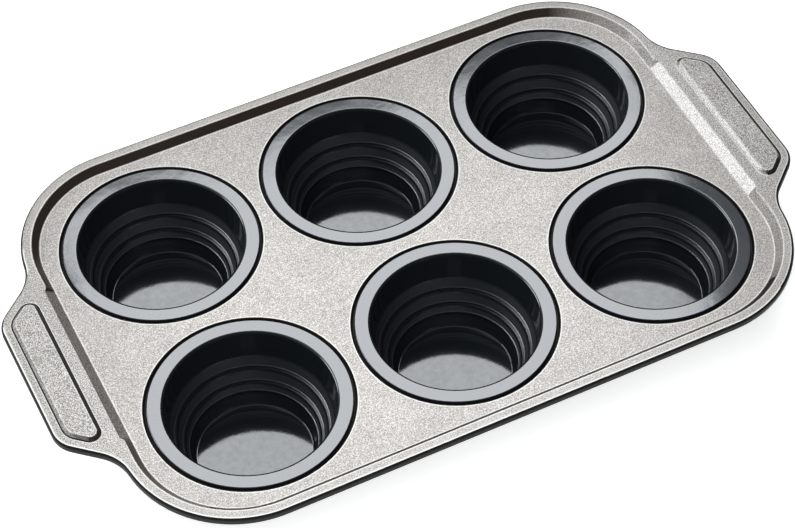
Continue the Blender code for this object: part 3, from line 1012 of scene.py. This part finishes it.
class PAN_OT_add_tray(bpy.types.Operator):
    """Build the pressed steel tray with its recesses, wall, handles, pads and turned edge"""

    bl_idname = "muffin_pan.add_tray"
    bl_label = "Add Tray"

    def execute(self, context):
        settings = context.scene.muffin_pan_tray
        layout = TrayLayout()
        bm = bmesh.new()
        bm.verts.layers.float.new("edge")
        at_wall = between_flats(layout.wall, WALL_FLAT)
        at_slope = between_flats(layout.slope, WALL_FLAT)
        wall = [layout.wall_loop(bm, *pair) for pair in zip(at_wall, at_slope)]
        for inner, outer in zip(wall, wall[1:]):
            band(bm, inner, outer)
        # Painted shade: the near wall, which faces into the pan, takes the dark back coat
        bm.normal_update()
        for face in bm.faces:
            if face.normal.y > SHADED_BEYOND_Y:
                face.material_index = BACK_COAT_AND_SHADE
        slope_end = HANDLE_SLOPE_LENGTH / 2.0 + NOTCH_LENGTH
        # Painted highlight along the wall's foot and, beside the sides, along its top
        top = [vertex for vertex in wall[-2] if abs(vertex.co.y) > slope_end]
        mark_highlight(bm, HIGHLIGHT_ON_BEND, wall[1], top)
        # A faint painted highlight on the right-hand slope, which faces the left lamp
        lit_side = [vertex for loop in wall[1:-1] for vertex in loop if vertex.co.x > 0.0]
        slope = [vertex for vertex in lit_side if abs(vertex.co.y) < slope_end - UNMARKED_NOTCH]
        mark_highlight(bm, HIGHLIGHT_ON_SLOPE, slope)
        pads = [add_pad(bm, layout, turned) for turned in (False, True)]
        fill(bm, [add_turned_edge(bm, layout, settings), wall[-1]] + pads)
        fill(bm, [wall[0]] + [add_hole(bm, layout, settings, cup_centre(number)) for number in CUPS])
        materials = [sand_coating(settings), back_coating(settings)]
        tray = linked_object("pressed_tray", finished_mesh(bm, "pressed_tray", materials))
        solidify = tray.modifiers.new("sheet_thickness", "SOLIDIFY")
        solidify.thickness = SHEET
        solidify.offset = -1.0
        solidify.use_even_offset = True
        solidify.use_quality_normals = True
        solidify.material_offset = 1
        solidify.material_offset_rim = 1
        apply_modifiers(tray)
        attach(tray, "tray")
        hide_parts("tray")
        return {"FINISHED"}


class PAN_OT_add_cups(bpy.types.Operator):
    """Mould the six silicone cups, whose steps fold when a base is pushed up"""

    bl_idname = "muffin_pan.add_cups"
    bl_label = "Add Silicone Cups"

    def execute(self, context):
        settings = context.scene.muffin_pan_cups
        mesh = cup_mesh(settings, moulded_silicone(settings))
        fold_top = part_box("cup_1_steps")[1].z
        fold_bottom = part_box("cup_1_steps")[0].z
        for number in CUPS:
            x, y = cup_centre(number)
            cup = linked_object(f"silicone_cup_{number}", mesh.copy())
            cup.data.transform(Matrix.Translation((x, y, 0.0)))
            start = (x, y, fold_top)
            end = (x, y, fold_bottom)
            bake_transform(cup, f"cup_{number}", f"cup_{number}_base", start=start, end=end)
            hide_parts(f"cup_{number}_rim", f"cup_{number}_steps", f"cup_{number}_base")
        return {"FINISHED"}


class PAN_OT_add_stage(bpy.types.Operator):
    """Set the plain floor, the soft lamps, the room's fill light and the camera"""

    bl_idname = "muffin_pan.add_stage"
    bl_label = "Add Studio"

    def execute(self, context):
        settings = context.scene.muffin_pan_stage
        scene = context.scene
        bm = bmesh.new()
        bmesh.ops.create_grid(bm, x_segments=4, y_segments=4, size=FLOOR_HALF_SIZE)
        floor = linked_object("studio_floor", finished_mesh(bm, "studio_floor", [studio_floor(settings)]))
        floor.location.z = -FLOOR_DROP
        lamps = {name: add_area_lamp(name, getattr(settings, name)) for name in LAMPS}
        # The near lamp only fills in, because its reflection would show on the cups' floors
        lamps["near_lamp"].visible_camera = False
        lamps["near_lamp"].visible_glossy = False
        scene.world = add_room(settings.world)
        scene.camera = add_camera()
        scene.view_settings.view_transform = "Standard"
        return {"FINISHED"}


class PAN_PT_sidebar(bpy.types.Panel):
    """Lists the muffin pan's pieces and their settings"""

    bl_idname = "PAN_PT_sidebar"
    bl_label = "Muffin Pan"
    bl_space_type = "VIEW_3D"
    bl_region_type = "UI"
    bl_category = "Muffin Pan"

    def draw(self, context):
        scene = context.scene
        groups = (
            ("muffin_pan.add_tray", scene.muffin_pan_tray),
            ("muffin_pan.add_cups", scene.muffin_pan_cups),
            ("muffin_pan.add_stage", scene.muffin_pan_stage),
        )
        for operator, settings in groups:
            box = self.layout.box()
            box.operator(operator)
            for name in settings.bl_rna.properties.keys():
                if name not in {"rna_type", "name"}:
                    box.prop(settings, name)


SETTINGS = {
    "muffin_pan_tray": TraySettings,
    "muffin_pan_cups": CupSettings,
    "muffin_pan_stage": StageSettings,
}
CLASSES = (
    TraySettings,
    CupSettings,
    StageSettings,
    PAN_OT_add_tray,
    PAN_OT_add_cups,
    PAN_OT_add_stage,
    PAN_PT_sidebar,
)


def register():
    for cls in CLASSES:
        bpy.utils.register_class(cls)
    for name, group in SETTINGS.items():
        setattr(bpy.types.Scene, name, bpy.props.PointerProperty(type=group))


def unregister():
    for name in SETTINGS:
        delattr(bpy.types.Scene, name)
    for cls in reversed(CLASSES):
        bpy.utils.unregister_class(cls)


def main():
    register()
    bpy.ops.muffin_pan.add_tray()
    bpy.ops.muffin_pan.add_cups()
    bpy.ops.muffin_pan.add_stage()


if __name__ == "__main__":
    main()
